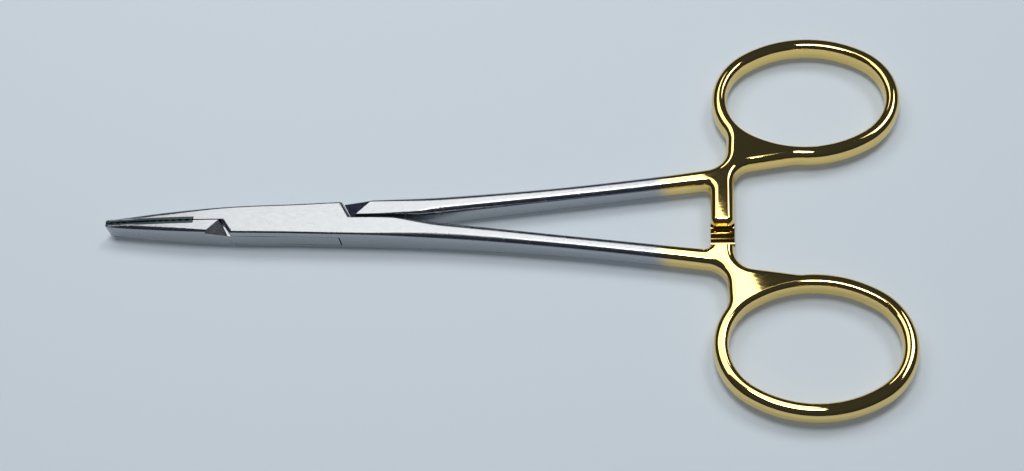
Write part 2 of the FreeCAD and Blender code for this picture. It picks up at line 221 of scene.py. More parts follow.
@dataclass(frozen=True)
class Forging:
    """Sizes that both halves share. Reaches run along the instrument from the pivot."""

    thickness: float = 4.8
    handle_thickness: float = 3.5
    tip_thickness: float = 3.1
    lock_half_width: float = 2.75
    front_half_width: float = 2.45
    rear_half_width: float = 3.2
    lock_reach: float = 12.0
    taper_start: float = 14.0
    taper_end: float = 64.0
    tip_reach: float = 30.6
    tip_half_width: float = 0.8
    tip_round: float = 0.7
    jaw_sweep: float = 264.0
    jaw_gap: float = 0.1
    insert_thickness: float = 0.5
    insert_heel_reach: float = 15.4
    insert_end_slant: float = 0.15
    shank_sweep: float = 470.0
    ratchet_reach: float = 67.9
    ratchet_width: float = 3.7
    ratchet_overlap: float = 1.6
    ratchet_root: float = 5.9
    ratchet_relief: float = 5.5
    ratchet_play: float = 0.1
    root_round: float = 1.0
    bar_round: float = 1.2
    tooth_pitch: float = 0.95
    tooth_height: float = 0.6
    tooth_count: int = 7
    tooth_land: float = 0.3
    ring_reach: float = 83.15
    ring_offset: float = 22.3
    hole_length: float = 25.3
    hole_width: float = 19.2
    end_round: float = 8.3
    band: float = 2.3
    neck_reach: float = 70.3
    neck_outer: float = 9.2
    neck_inner: float = 8.95
    web_rise: float = 1.85
    neck_round: float = 3.6
    web_round: float = 3.2
    blend_round: float = 4.0

    def half_thickness(self, reach: float) -> float:
        """Half of the forging's thickness: full at the lock, less at the tips and the handles.

        Args:
            reach: Distance from the pivot, negative towards the jaws.

        Returns:
            Half of the thickness there.
        """
        full = self.thickness / 2
        if reach < -self.lock_reach:
            share = (-self.lock_reach - reach) / (self.tip_reach - self.lock_reach)
            return full - (full - self.tip_thickness / 2) * share * share
        share = min(1.0, max(0.0, (reach - self.taper_start) / (self.taper_end - self.taper_start)))
        fall = 2 * share * share if share < 0.5 else 1 - 2 * (1 - share) ** 2
        return full - (full - self.handle_thickness / 2) * fall

    def lock_width(self, reach: float) -> float:
        """Half of the lock's width at a reach from the pivot, negative towards the jaws."""
        end = self.rear_half_width if reach > 0 else self.front_half_width
        return self.lock_half_width + (end - self.lock_half_width) * abs(reach) / self.lock_reach


@dataclass
class Half:
    """A forged half, drawn with its ring and shank on the positive side and its jaw on the other.

    Attributes:
        name: Name of the finished piece.
        node: The CAD node that it stands for.
        body: The body that it moves with.
        side: The side that its ring really lies on.
        fork_reach: Where the two halves part behind the lock.
        fork_inner: How far from the middle its inner edge starts there.
        forging: The shared sizes.
    """

    name: str
    node: str
    body: str
    side: Side
    fork_reach: float
    fork_inner: float
    forging: Forging = Forging()

    HANDLE_RIM = Rim(1.15, 1.25, 2.1)
    HOLE_RIM = Rim(0.85, 0.9, 2.0)
    SHANK_RIM = Rim(1.0, 1.0, 2.0)
    LOCK_RIM = Rim(0.4, 0.4, 2.0)
    JAW_RIM = Rim(0.75, 0.7, 2.0)
    TIP_RIM = Rim(0.35, 0.6, 2.0)
    PARTING_RIM = Rim(0.06, 0.06, 2.0)
    # Shares of a rim's width at which its curve has a row of points, with one more on the flat
    RIM_SHARES = (0.0, 0.004, 0.02, 0.05, 0.1, 0.17, 0.26, 0.37, 0.5, 0.65, 0.82, 1.0, 1.05)
    # How far a row lies in before it takes its true place
    ROW_INSET = 0.01
    # Reaches over which one rim goes over to the next
    SHANK_BLEND = (12.0, 26.0)
    HANDLE_BLEND = (50.0, 68.0)
    JAW_BLEND = (8.0, 20.0)
    TIP_BLEND = (25.5, 30.5)
    # How near an edge lies to the inner side, the lock's side or the jaw's face that it belongs to
    INNER_BAND = 1.2
    SIDE_BAND = 0.3
    FACE_BAND = 0.1
    # How far before the ratchet bar the shank's inner side ends
    INNER_END = 5.0
    # Where the ring's outside starts and ends, and where the neck meets it
    RING_START = math.radians(225)
    RING_END = math.radians(580)
    NECK_ANGLE = math.radians(25)
    # The lines that divide the plan, and the share of its width that the vertices they add are kept to
    JAW_PITCH = 1.6
    JAW_LINES = 12
    SHANK_PITCH = 2.0
    SHANK_LINES = 26
    LINE_BAND = 0.02
    CORE_START = 0.4
    CORE_SPAN = 0.2
    # The flat on a tooth's crest
    CREST = 0.25
    # How far a cutter runs past the bar's end, and past the lock's side as a share of its half-width
    OVERRUN = 2.0
    SIDE_OVERRUN = 1.5
    # The small bevel on the edges that the cutters leave
    EDGE_WIDTH = 0.05
    EDGE_STEPS = 2
    EDGE_TURN = math.radians(40)

    def handle(self) -> list[Vector]:
        """Draw the shank, the ratchet bar, the web, the ring and the neck.

        Returns:
            Their outline, from the fork round to the lock's side.
        """
        forging = self.forging
        bar_end = forging.ratchet_reach + forging.ratchet_width
        root = Vector((forging.ratchet_reach, forging.ratchet_root))
        bar_front = Vector((forging.ratchet_reach, -forging.ratchet_overlap))
        bar_rear = Vector((bar_end, -forging.ratchet_overlap))
        web = Vector((bar_end, forging.neck_inner))
        web_end = Vector((forging.ring_reach, forging.neck_inner + forging.web_rise))
        neck = Vector((forging.neck_reach, forging.neck_outer))
        shoulder = Vector((forging.lock_reach, forging.rear_half_width))
        inner = line(Vector((self.fork_reach, self.fork_inner)), root)
        bar = line(root, bar_front)
        path = fillet(inner, bar, forging.root_round, -1)
        path = fillet(path, line(bar_front, bar_rear), forging.bar_round, 1)
        path = fillet(path, line(bar_rear, web), forging.bar_round, 1)
        path = fillet(path, line(web, web_end), forging.web_round, -1)
        path = fillet(path, self.ring_outside(), forging.blend_round, -1)
        path = fillet(path, line(self.ring_high(), neck), forging.blend_round, -1)
        return fillet(path, arc(neck, shoulder, forging.shank_sweep, -1), forging.neck_round, -1)

    def ring_outside(self) -> list[Vector]:
        """The ring's outside, from under its near end round to its neck."""
        return self.ring(self.forging.band, self.RING_START, self.RING_END)

    def ring_high(self) -> Vector:
        """Find the point that the neck runs to.

        Returns:
            The point, which lies inside the ring's band.
        """
        forging = self.forging
        across = (forging.hole_length + forging.band) / 2 * math.cos(self.NECK_ANGLE)
        along = (forging.hole_width + forging.band) / 2 * math.sin(self.NECK_ANGLE)
        return Vector((forging.ring_reach - across, forging.ring_offset - along))

    def ring(self, band: float, low: float = 0.0, high: float = math.tau) -> list[Vector]:
        """Points round the finger ring, an oval of four arcs that run smoothly into each other.

        Args:
            band: Distance outside the ring's hole.
            low: First angle that the oval faces, in radians.
            high: Last angle.

        Returns:
            The points, anticlockwise.
        """
        forging = self.forging
        half_length, half_width, end = forging.hole_length / 2, forging.hole_width / 2, forging.end_round
        squares = half_length**2 + half_width**2
        flank = (squares - 2 * half_length * end) / (2 * (half_width - end))
        along, across = half_length - end, flank - half_width
        joint = math.atan2(across, along)
        count = math.ceil((high - low) * (half_length + band) / STEP)
        middle = Vector((forging.ring_reach, forging.ring_offset))
        points = []
        for number in range(count + 1):
            angle = low + (high - low) * number / count
            facing = Vector((math.cos(angle), math.sin(angle)))
            if abs(math.atan(math.tan(angle))) < joint:
                centre, radius = Vector((math.copysign(along, facing.x), 0.0)), end
            else:
                centre, radius = Vector((0.0, -math.copysign(across, facing.y))), flank
            points.append(middle + centre + facing * (radius + band))
        return points

    def jaw(self) -> list[Vector]:
        """Draw the jaw.

        Returns:
            Its outline, from its parting face round its tip to the lock's side.
        """
        forging = self.forging
        face = -forging.jaw_gap / 2
        seat = face - forging.insert_thickness
        heel, end = -forging.insert_heel_reach, forging.insert_end_slant - forging.tip_reach
        nose = Vector((end, seat))
        cheek = Vector((end + forging.tip_round, -forging.tip_half_width))
        path = line(Vector((heel, face)), Vector((heel, seat)))
        path += line(path[-1], nose)[1:]
        outside = arc(cheek, Vector((0.0, -forging.lock_half_width)), forging.jaw_sweep, 1)
        return path + fillet(line(nose, cheek, STEP / 4), outside, forging.tip_round, 1)[1:]

    def lock_ends(self) -> tuple[list[Vector], list[Vector]]:
        """Where the half ends across the lock: its rear end, then its front end."""
        raise NotImplementedError

    def outline(self) -> list[Vector]:
        """Draw the whole half.

        Returns:
            Its outline, anticlockwise, with its ring on the positive side.
        """
        rear, front = self.lock_ends()
        path = rear + self.handle()
        path += line(path[-1], Vector((0.0, self.forging.lock_half_width)))[1:]
        path += line(path[-1], front[0])[1:] + front[1:]
        jaw = self.jaw()
        path += line(path[-1], jaw[0])[1:] + jaw[1:]
        return path + line(path[-1], rear[0])[1:-1]

    def rim(self, point: Vector) -> Rim:
        """The rounding of the edge at a point of the outline.

        Args:
            point: The point, with the ring on the positive side.

        Returns:
            The rim that the edge has there.
        """
        forging = self.forging
        inside = forging.band / 2
        along = (point.x - forging.ring_reach) / (forging.hole_length / 2 + inside)
        across = (point.y - forging.ring_offset) / (forging.hole_width / 2 + inside)
        if math.hypot(along, across) < 1:
            return self.HOLE_RIM
        past_lock = smooth_share(point.x, *self.SHANK_BLEND)
        shank = self.LOCK_RIM.mixed(self.SHANK_RIM, past_lock)
        handle = shank.mixed(self.HANDLE_RIM, smooth_share(point.x, *self.HANDLE_BLEND))
        if point.x > forging.lock_reach:
            before_bar = point.x < forging.ratchet_reach - self.INNER_END
            inner = before_bar and point.y < self.fork_inner + self.INNER_BAND
            return self.PARTING_RIM.mixed(handle, past_lock) if inner else handle
        if point.y > forging.front_half_width - self.SIDE_BAND:
            return self.LOCK_RIM
        jaw = self.LOCK_RIM.mixed(self.JAW_RIM, smooth_share(-point.x, *self.JAW_BLEND))
        jaw = jaw.mixed(self.TIP_RIM, smooth_share(-point.x, *self.TIP_BLEND))
        return jaw if point.y < self.FACE_BAND - forging.tip_half_width else self.PARTING_RIM

    def shell(self) -> bmesh.types.BMesh:
        """Raise the half's plan to a solid, before its lock is cut.

        Returns:
            A closed mesh about the middle plane, on the half's real side.
        """
        mesh = bmesh.new()
        loops = [self.outline(), self.ring(0.0)[:-1]]
        for loop in loops:
            verts = [mesh.verts.new((point.x, point.y, 0.0)) for point in loop]
            for start, end in zip(verts, verts[1:] + verts[:1]):
                mesh.edges.new((start, end))
        bmesh.ops.triangle_fill(mesh, edges=mesh.edges[:], use_beauty=True, normal=(0, 0, 1))
        self.cut_across(mesh)
        self.raise_rim(mesh)
        wall = [edge for edge in mesh.edges if edge.is_boundary]
        made = bmesh.ops.extrude_edge_only(mesh, edges=wall)["geom"]
        for vert in made:
            if isinstance(vert, bmesh.types.BMVert):
                vert.co.z = 0.0
        geometry = mesh.verts[:] + mesh.edges[:] + mesh.faces[:]
        bmesh.ops.mirror(mesh, geom=geometry, axis="Z", merge_dist=MERGE)
        bmesh.ops.remove_doubles(mesh, verts=mesh.verts, dist=MERGE)
        for vert in mesh.verts:
            vert.co.y *= self.side.value
        bmesh.ops.recalc_face_normals(mesh, faces=mesh.faces)
        return mesh

    def cut_across(self, mesh: bmesh.types.BMesh) -> None:
        """Divide the flat plan where the thickness changes, and keep what that adds clear of the rim.

        Args:
            mesh: The flat plan.
        """
        forging = self.forging
        jaw = [-forging.lock_reach - self.JAW_PITCH * number for number in range(self.JAW_LINES)]
        shank = [forging.taper_start + self.SHANK_PITCH * number for number in range(self.SHANK_LINES)]
        for reach in jaw + shank:
            geometry = mesh.verts[:] + mesh.edges[:] + mesh.faces[:]
            bmesh.ops.bisect_plane(
                mesh, geom=geometry, dist=MERGE, plane_co=(reach, 0, 0), plane_no=(1, 0, 0)
            )
        bmesh.ops.remove_doubles(mesh, verts=mesh.verts, dist=self.LINE_BAND)
        for reach in jaw + shank:
            row = [vert for vert in mesh.verts if abs(vert.co.x - reach) < self.LINE_BAND]
            row.sort(key=lambda vert: vert.co.y)
            inner = [vert for vert in row if not vert.is_boundary]
            for number, vert in enumerate(inner, 1):
                share = self.CORE_START + self.CORE_SPAN * number / (len(inner) + 1)
                vert.co.y = row[0].co.y + (row[-1].co.y - row[0].co.y) * share

    def raise_rim(self, mesh: bmesh.types.BMesh) -> None:
        """Lift the plan to its face and round its edge down to the outline, row by row.

        Each inset only adds a row of faces, and the row then takes its true place.

        Args:
            mesh: The flat plan, which becomes the upper face.
        """
        outline = mesh.verts.layers.int.new("outline")
        edge_points: list[Vector] = []
        directions: list[Vector] = []
        for vert in mesh.verts:
            if vert.is_boundary:
                edge_points.append(vert.co.copy())
                directions.append(inward(vert))
                vert[outline] = len(edge_points)
        rims = [self.rim(point) for point in edge_points]
        region = mesh.faces[:]
        for share in self.RIM_SHARES[1:]:
            bmesh.ops.inset_region(mesh, faces=region, thickness=self.ROW_INSET, use_boundary=True)
            inside = {vert for face in region for vert in face.verts}
            for vert in inside:
                number = vert[outline] - 1
                if number < 0:
                    vert.co.z = self.forging.half_thickness(vert.co.x)
                    continue
                vert.co = edge_points[number] + directions[number] * rims[number].width * share
                vert.co.z = self.forging.half_thickness(vert.co.x) - rims[number].drop(share)
        for vert in mesh.verts:
            if vert.is_boundary:
                reach = vert.co.x
                vert.co.z = self.forging.half_thickness(reach) - rims[vert[outline] - 1].height

    def tooth_cutter(self) -> bmesh.types.BMesh:
        """Shape what is cut from the ratchet bar: the other bar's half of the height, and the teeth.

        Returns:
            The block, at its place.
        """
        forging = self.forging
        side = self.side.value
        end = -forging.ratchet_overlap
        facing = forging.ratchet_play / 2
        outside = -forging.thickness
        profile = [(end - self.OVERRUN, facing)]
        for number in range(forging.tooth_count):
            reach = end + forging.tooth_land + forging.tooth_pitch * number
            profile += [(reach - self.CREST, facing), (reach, facing), (reach, facing + forging.tooth_height)]
        last = end + forging.tooth_land + forging.tooth_pitch * forging.tooth_count
        profile += [(last, facing), (forging.ratchet_relief, facing)]
        profile += [(forging.ratchet_relief, outside), (end - self.OVERRUN, outside)]
        margin = forging.root_round / 2
        start, stop = forging.ratchet_reach - margin, forging.ratchet_reach + forging.ratchet_width + margin
        corners = [Vector((start, along * side, height * side)) for along, height in profile]
        return prism(corners, Vector((stop - start, 0, 0)))

    def cutters(self) -> list[bmesh.types.BMesh]:
        """What is cut from the lock."""
        raise NotImplementedError

    def build(self) -> bpy.types.Object:
        """Make the finished piece at its real size and place.

        Returns:
            The piece, which moves with its body and stands for its node.
        """
        forged = stored(self.name, self.shell())
        for cutter in [self.tooth_cutter()] + self.cutters():
            forged = carved(forged, cutter)
        bevel = forged.modifiers.new("edges", "BEVEL")
        bevel.width = self.EDGE_WIDTH
        bevel.segments = self.EDGE_STEPS
        bevel.limit_method = "ANGLE"
        bevel.angle_limit = self.EDGE_TURN
        forged = applied(forged)
        height = self.forging.thickness
        forged = carved(forged, drum(self.pin_radius, -height, height, LockPin.FACETS))
        forged.data.transform(Matrix.Scale(METRES, 4) @ Matrix.Translation((0, 0, height / 2)))
        shade(forged)
        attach(forged, self.body)
        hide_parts(self.node)
        return forged


@dataclass
class BoxHalf(Half):
    """The slotted half, whose two cheeks close over the other half's tongue."""

    slot_height: float = 2.4
    slot_radius: float = 9.6
    fork_gap: float = 0.6
    side_gap: float = 0.1
    notch_outer: float = 9.0
    notch_inner: float = 10.85
    pin_radius: float = 1.25

    NOTCH_RIM = Rim(0.6, 0.6, 2.0)
    # How near a point lies to a notch that it belongs to
    NOTCH_BAND = 0.05
    DISC_FACETS = 160

    def rim(self, point: Vector) -> Rim:
        """The rounding of the edge, softer where the cheeks end at the notches.

        Args:
            point: The point of the outline, with the ring on the positive side.

        Returns:
            The rim that the edge has there.
        """
        reach = abs(point.x)
        across = point.y if point.x < 0 else -point.y
        if self.notch_outer - self.NOTCH_BAND < reach < self.notch_inner and across > -self.FACE_BAND:
            return self.NOTCH_RIM
        return super().rim(point)

    def lock_ends(self) -> tuple[list[Vector], list[Vector]]:
        """Draw the notches where the cheeks end.

        Returns:
            The notch behind the box, then the one before it.
        """
        forging = self.forging
        rear = Vector((self.notch_outer, -forging.lock_width(self.notch_outer)))
        front = Vector((-self.notch_outer, forging.lock_width(-self.notch_outer)))
        rear_run = line(rear, Vector((self.notch_inner, 0.0)))
        rear_run += line(rear_run[-1], Vector((self.fork_reach, self.fork_inner)))[1:-1]
        return rear_run, line(front, Vector((-self.notch_inner, -forging.jaw_gap / 2)))

    def cutters(self) -> list[bmesh.types.BMesh]:
        """Shape the slot for the tongue and its ways out.

        Returns:
            The blocks to cut.
        """
        forging = self.forging
        half = self.slot_height / 2
        disc = drum(self.slot_radius, -half, half, self.DISC_FACETS)
        inner, outer = self.slot_radius / 2, forging.lock_reach
        aside = forging.rear_half_width * self.SIDE_OVERRUN
        rear, front = self.fork_gap - self.side_gap, forging.jaw_gap / 2
        made = [disc]
        for reach, lift in ((1, rear), (-1, front)):
            places = ((inner, lift), (outer, lift), (outer, aside), (inner, aside))
            corners = [Vector((across * reach, along * reach, -half)) for across, along in places]
            made.append(prism(corners, Vector((0, 0, self.slot_height))))
        return made


@dataclass
class ThroughHalf(Half):
    """The crossing half, thinned to a tongue that goes through the other half's box."""

    tongue_thickness: float = 2.3
    tongue_radius: float = 9.4
    notch_inner: float = 10.95
    notch_slope: float = 1.85
    shoulder_inner: float = 11.05
    shoulder_outer: float = 14.0
    pin_radius: float = 1.28

    # How far the ramps run on past the lock's face, as a share of their own rise
    RAMP_OVERRUN = 1.2

    def lock_ends(self) -> tuple[list[Vector], list[Vector]]:
        """Draw the tongue's two ends, which follow the round slot.

        Returns:
            The rear end, then the front one.
        """
        forging = self.forging
        face = -forging.jaw_gap / 2
        reach = self.on_tongue(forging.rear_half_width).x
        rear_width = forging.lock_width(reach)
        front_width = forging.lock_width(-reach)
        rear = arc(self.on_tongue(-rear_width), self.on_tongue(self.fork_inner), self.tongue_radius, 1)
        rear += line(rear[-1], Vector((self.fork_reach, self.fork_inner)))[1:-1]
        front = arc(-self.on_tongue(-front_width), -self.on_tongue(-face), self.tongue_radius, 1)
        return rear, front

    def on_tongue(self, along: float) -> Vector:
        """The point of the tongue's rear end at a distance from the instrument's middle."""
        return Vector((math.sqrt(self.tongue_radius**2 - along**2), along))

    def cutters(self) -> list[bmesh.types.BMesh]:
        """Shape the two recesses that leave the tongue.

        Returns:
            The blocks to cut, the upper one first.
        """
        forging = self.forging
        aside = forging.rear_half_width * self.SIDE_OVERRUN
        shoulder_slope = self.shoulder_outer - self.shoulder_inner
        rise = (forging.thickness - self.tongue_thickness) / 2
        made = []
        for sign in (1, -1):
            levels = []
            for share in (0.0, 1.0, self.RAMP_OVERRUN):
                near = self.notch_inner + (self.shoulder_inner - self.notch_inner) * share
                slope = -self.notch_slope + (shoulder_slope + self.notch_slope) * share
                far = near + slope * self.SIDE_OVERRUN
                rear = [(near, -aside), (near, 0.0), (far, aside)]
                height = (self.tongue_thickness / 2 + rise * share) * sign
                places = rear + [(-across, -along) for across, along in rear]
                levels.append([Vector((across, along, height)) for across, along in places])
            made.append(loft(levels))
        return made


@dataclass
class LockPin:
    """The pin of the box lock, ground flush with both cheeks."""

    name: str = "lock_pin_ground"
    radius: float = 1.25
    length: float = 4.8

    FACETS = 64

    def build(self) -> bpy.types.Object:
        """Make the finished pin at its real size and place.

        Returns:
            The pin, which moves with the slotted half.
        """
        mesh = drum(self.radius, 0.0, self.length, self.FACETS)
        pin = stored(self.name, mesh)
        pin.data.transform(Matrix.Scale(METRES, 4))
        shade(pin)
        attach(pin, "box_side")
        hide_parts("lock_pin")
        return pin


def prism(corners: list[Vector], run: Vector) -> bmesh.types.BMesh:
    """Make a closed block: a flat outline moved along a run.

    Args:
        corners: The outline's corners, in order.
        run: How far it moves, and which way.

    Returns:
        The block, with its faces pointing outwards.
    """
    mesh = bmesh.new()
    face = mesh.faces.new([mesh.verts.new(corner) for corner in corners])
    made = bmesh.ops.extrude_face_region(mesh, geom=[face])["geom"]
    moved = [item for item in made if isinstance(item, bmesh.types.BMVert)]
    bmesh.ops.translate(mesh, vec=run, verts=moved)
    bmesh.ops.recalc_face_normals(mesh, faces=mesh.faces)
    return mesh


def drum(radius: float, low: float, high: float, facets: int) -> bmesh.types.BMesh:
    """Make a closed upright cylinder about the pivot.

    Args:
        radius: Its radius.
        low: Height of its lower end.
        high: Height of its upper end.
        facets: Number of its side faces.

    Returns:
        The cylinder.
    """
    mesh = bmesh.new()
    middle = Matrix.Translation((0, 0, (low + high) / 2))
    bmesh.ops.create_cone(
        mesh, cap_ends=True, segments=facets, radius1=radius, radius2=radius, depth=high - low, matrix=middle
    )
    return mesh


def loft(levels: list[list[Vector]]) -> bmesh.types.BMesh:
    """Make a closed block through outlines that lie one above another.

    Args:
        levels: The outlines, each with as many corners.

    Returns:
        The block, with its faces pointing outwards.
    """
    mesh = bmesh.new()
    rows = [[mesh.verts.new(corner) for corner in level] for level in levels]
    loops = [[mesh.edges.new(pair) for pair in zip(row, row[1:] + row[:1])] for row in rows]
    for lower, upper in zip(loops, loops[1:]):
        bmesh.ops.bridge_loops(mesh, edges=lower + upper)
    for row in (rows[0], rows[-1]):
        mesh.faces.new(row)
    bmesh.ops.recalc_face_normals(mesh, faces=mesh.faces)
    return mesh


def stored(name: str, mesh: bmesh.types.BMesh) -> bpy.types.Object:
    """Put a mesh into a new object of the scene.

    Args:
        name: Name of the object and its data.
        mesh: The mesh, which is freed.

    Returns:
        The object.
    """
    data = bpy.data.meshes.new(name)
    mesh.to_mesh(data)
    mesh.free()
    made = bpy.data.objects.new(name, data)
    bpy.context.scene.collection.objects.link(made)
    return made


def applied(piece: bpy.types.Object) -> bpy.types.Object:
    """Make a piece's modifiers part of its mesh.

    Args:
        piece: The piece.

    Returns:
        The same piece, with no modifier left.
    """
    graph = bpy.context.evaluated_depsgraph_get()
    done = bpy.data.meshes.new_from_object(piece.evaluated_get(graph))
    piece.modifiers.clear()
    piece.data = done
    return piece


def carved(piece: bpy.types.Object, cutter: bmesh.types.BMesh) -> bpy.types.Object:
    """Cut a block out of a piece.

    Args:
        piece: The piece.
        cutter: The block, which is freed.

    Returns:
        The same piece, cut.
    """
    block = stored("cutter", cutter)
    cut = piece.modifiers.new("cut", "BOOLEAN")
    cut.operation = "DIFFERENCE"
    cut.solver = "EXACT"
    cut.object = block
    done = applied(piece)
    bpy.data.objects.remove(block)
    return done


def shade(piece: bpy.types.Object) -> None:
    """Smooth a piece's shading over its rounds and keep its real edges.

    Args:
        piece: The piece.
    """
    piece.data.polygons.foreach_set("use_smooth", [True] * len(piece.data.polygons))
    piece.data.set_sharp_from_angle(angle=SHARP_TURN)
    weighted = piece.modifiers.new("flat_faces", "WEIGHTED_NORMAL")
    weighted.keep_sharp = True


class Nodes:
    """A short way to put a material's nodes together."""

    def __init__(self, name: str) -> None:
        """Start a material with only its shader and output.

        Args:
            name: Name of the material.
        """
        self.material = bpy.data.materials.new(name)
        self.material.use_nodes = True
        self.tree = self.material.node_tree
        self.shader = self.tree.nodes["Principled BSDF"]

    def add(self, kind: str, **values: object) -> bpy.types.Node:
        """Add a node.

        Args:
            kind: Its kind, by Blender's own name.
            **values: Properties to set on it.

        Returns:
            The node.
        """
        node = self.tree.nodes.new(kind)
        for name, value in values.items():
            setattr(node, name, value)
        return node

    def link(self, output: bpy.types.NodeSocket, socket: bpy.types.NodeSocket) -> None:
        """Join an output to an input."""
        self.tree.links.new(output, socket)

    def object_coordinates(self) -> bpy.types.NodeSocket:
        """The piece's own coordinates, in metres."""
        return self.add("ShaderNodeTexCoord").outputs["Object"]

    def noise(self, scale: float, detail: float, stretch: tuple[float, float, float]) -> bpy.types.NodeSocket:
        """Noise over the piece's own coordinates.

        Args:
            scale: Cells in a metre.
            detail: Number of finer layers.
            stretch: How much closer the pattern lies along each axis.

        Returns:
            The noise's value.
        """
        mapping = self.add("ShaderNodeMapping")
        mapping.inputs["Scale"].default_value = stretch
        self.link(self.object_coordinates(), mapping.inputs["Vector"])
        noise = self.add("ShaderNodeTexNoise")
        noise.inputs["Scale"].default_value = scale
        noise.inputs["Detail"].default_value = detail
        self.link(mapping.outputs["Vector"], noise.inputs["Vector"])
        return noise.outputs["Fac"]

    def ranged(self, value: bpy.types.NodeSocket, low: float, high: float, lows: float = 0.0,
               highs: float = 1.0) -> bpy.types.NodeSocket:
        """A value mapped smoothly from one range to another.

        Args:
            value: What is mapped.
            low: Result at the low end.
            high: Result at the high end.
            lows: Value that gives the low end.
            highs: Value that gives the high end.

        Returns:
            The mapped value.
        """
        mapped = self.add("ShaderNodeMapRange", interpolation_type="SMOOTHSTEP")
        mapped.inputs["From Min"].default_value = lows
        mapped.inputs["From Max"].default_value = highs
        mapped.inputs["To Min"].default_value = low
        mapped.inputs["To Max"].default_value = high
        self.link(value, mapped.inputs["Value"])
        return mapped.outputs["Result"]

    def mixed(self, share: bpy.types.NodeSocket, first: tuple[float, float, float],
              second: tuple[float, float, float]) -> bpy.types.NodeSocket:
        """Mix two colours.

        Args:
            share: How much of the second there is.
            first: The first colour.
            second: The second colour.

        Returns:
            The mixed colour.
        """
        mix = self.add("ShaderNodeMix", data_type="RGBA")
        self.link(share, mix.inputs["Factor"])
        mix.inputs["A"].default_value = (*first, 1.0)
        mix.inputs["B"].default_value = (*second, 1.0)
        return mix.outputs["Result"]

    def bump(self, height: bpy.types.NodeSocket, strength: float, distance: float) -> None:
        """Give the shader a fine relief.

        Args:
            height: The relief's height, from 0 to 1.
            strength: How much of it shows.
            distance: The height of 1, in metres.
        """
        bump = self.add("ShaderNodeBump")
        bump.inputs["Strength"].default_value = strength
        bump.inputs["Distance"].default_value = distance
        self.link(height, bump.inputs["Height"])
        self.link(bump.outputs["Normal"], self.shader.inputs["Normal"])


@dataclass(frozen=True)
class ForgedSteel:
    """Satin stainless steel whose handles are plated with polished gold."""

    steel: tuple[float, float, float] = (0.39, 0.405, 0.425)
    gold: tuple[float, float, float] = (0.87, 0.64, 0.23)
    steel_roughness: tuple[float, float] = (0.20, 0.30)
    gold_roughness: tuple[float, float] = (0.02, 0.04)
    plating_start: float = 0.0588
    plating_end: float = 0.0624
    grain_scale: float = 2600.0
    grain_layers: float = 4.0
    grain_stretch: tuple[float, float, float] = (0.35, 1.0, 1.0)
    grain_strength: float = 0.05
    grain_height: float = 0.00002

    def material(self) -> bpy.types.Material:
        """Make the finish.

        Returns:
            The material of both halves and the pin.
        """
        nodes = Nodes("forged_steel")
        split = nodes.add("ShaderNodeSeparateXYZ")
        nodes.link(nodes.object_coordinates(), split.inputs["Vector"])
        plating = nodes.ranged(split.outputs["X"], 0.0, 1.0, self.plating_start, self.plating_end)
        nodes.link(nodes.mixed(plating, self.steel, self.gold), nodes.shader.inputs["Base Color"])
        nodes.shader.inputs["Metallic"].default_value = 1.0
        grain = nodes.noise(self.grain_scale, self.grain_layers, self.grain_stretch)
        rough = nodes.add("ShaderNodeMix", data_type="FLOAT")
        nodes.link(plating, rough.inputs["Factor"])
        nodes.link(nodes.ranged(grain, *self.steel_roughness), rough.inputs["A"])
        nodes.link(nodes.ranged(grain, *self.gold_roughness), rough.inputs["B"])
        nodes.link(rough.outputs["Result"], nodes.shader.inputs["Roughness"])
        nodes.bump(grain, self.grain_strength, self.grain_height)
        return nodes.material


@dataclass(frozen=True)
class Carbide:
    """Dull dark carbide of the jaw inserts."""

    dark: tuple[float, float, float] = (0.035, 0.055, 0.065)
    light: tuple[float, float, float] = (0.07, 0.10, 0.11)
    metallic: float = 0.8
    roughness: tuple[float, float] = (0.38, 0.55)
    grain_scale: float = 3800.0
    grain_layers: float = 5.0
    grain_stretch: tuple[float, float, float] = (1.0, 1.0, 1.0)
    grain_strength: float = 0.15
    grain_height: float = 0.00003

    def material(self) -> bpy.types.Material:
        """Make the finish.

        Returns:
            The material of both inserts.
        """
        nodes = Nodes("carbide")
        grain = nodes.noise(self.grain_scale, self.grain_layers, self.grain_stretch)
        nodes.link(nodes.mixed(grain, self.dark, self.light), nodes.shader.inputs["Base Color"])
        nodes.shader.inputs["Metallic"].default_value = self.metallic
        nodes.link(nodes.ranged(grain, *self.roughness), nodes.shader.inputs["Roughness"])
        nodes.bump(grain, self.grain_strength, self.grain_height)
        return nodes.material


@dataclass(frozen=True)
class Panel:
    """A soft white light.

    Attributes:
        name: Name of the light.
        place: Its centre, in metres.
        size: Its length and width, in metres.
        radiance: How bright its face is.
        turn: How far it is turned about the upright, in degrees, where it faces straight down. Without
            it, the light faces the instrument.
    """

    name: str
    place: tuple[float, float, float]
    size: tuple[float, float]
    radiance: float
    turn: float | None = None

    COLOUR = (1.0, 0.99, 0.97)
    AIM = (0.035, 0.0, 0.0)

    def hang(self) -> None:
        """Put the light up at its place."""
        lamp = bpy.data.lights.new(self.name, "AREA")
        lamp.shape = "RECTANGLE"
        lamp.size, lamp.size_y = self.size
        lamp.energy = self.radiance * math.pi * self.size[0] * self.size[1]
        lamp.color = self.COLOUR
        light = bpy.data.objects.new(self.name, lamp)
        bpy.context.scene.collection.objects.link(light)
        light.location = self.place
        if self.turn is None:
            aim = Vector(self.AIM) - Vector(self.place)
            light.rotation_euler = aim.to_track_quat("-Z", "Y").to_euler()
        else:
            light.rotation_euler.z = math.radians(self.turn)


